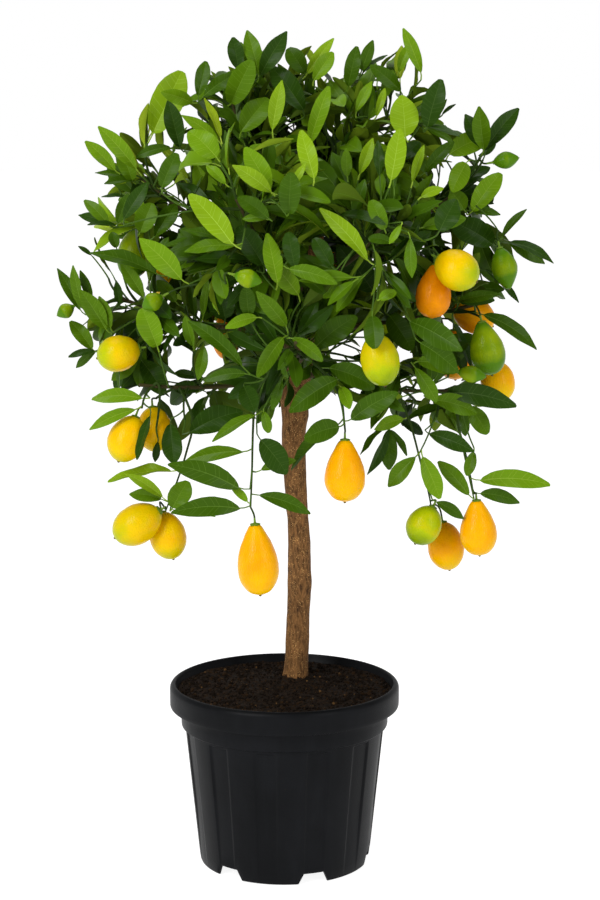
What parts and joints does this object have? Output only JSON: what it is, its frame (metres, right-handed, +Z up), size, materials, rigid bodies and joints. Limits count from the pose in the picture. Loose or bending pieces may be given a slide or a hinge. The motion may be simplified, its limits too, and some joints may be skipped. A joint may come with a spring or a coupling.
{
  "type": "potted limequat tree",
  "caption": "Small fruiting citrus tree on a single leaning stem, with a leafy crown hung with oval fruit, standing in a round nursery pot of dark plastic.",
  "frame": {"origin": "centre of the pot's flat underside, on the ground", "axes": "+Z up along the pot's axis, -Y towards the front of the plant as pictured, +X to the viewer's right"},
  "size_m": [0.4599, 0.3816, 0.7916],
  "materials": {
    "pot": "semi-matte moulded plastic",
    "soil": "moist crumbly potting soil",
    "bark": "fine upright bark with light specks",
    "foliage": "glossy leaves and fruit"
  },
  "bodies": {
    "root": {"pot": "pot", "soil": "soil", "trunk": "bark", "bough_top_left": "bark", "bough_top_back": "bark", "bough_upper_left": "bark", "bough_upper_right": "bark", "bough_upper_front_left": "bark", "bough_upper_front_right": "bark", "bough_upper_back_left": "bark", "bough_upper_back_right": "bark", "bough_side_left": "bark", "bough_side_right": "bark", "bough_lower_left": "bark", "bough_lower_right": "bark", "bough_lower_front": "bark", "bough_lower_back": "bark", "foliage_top_left": "foliage", "foliage_top_right": "foliage", "foliage_top_back": "foliage", "foliage_upper_left": "foliage", "foliage_upper_right": "foliage", "foliage_upper_front_left": "foliage", "foliage_upper_front_right": "foliage", "foliage_upper_back_left": "foliage", "foliage_upper_back_right": "foliage", "foliage_side_left": "foliage", "foliage_side_right": "foliage", "foliage_lower_left": "foliage", "foliage_lower_right": "foliage", "foliage_lower_front": "foliage", "foliage_lower_back": "foliage"}
  },
  "joints": []
}
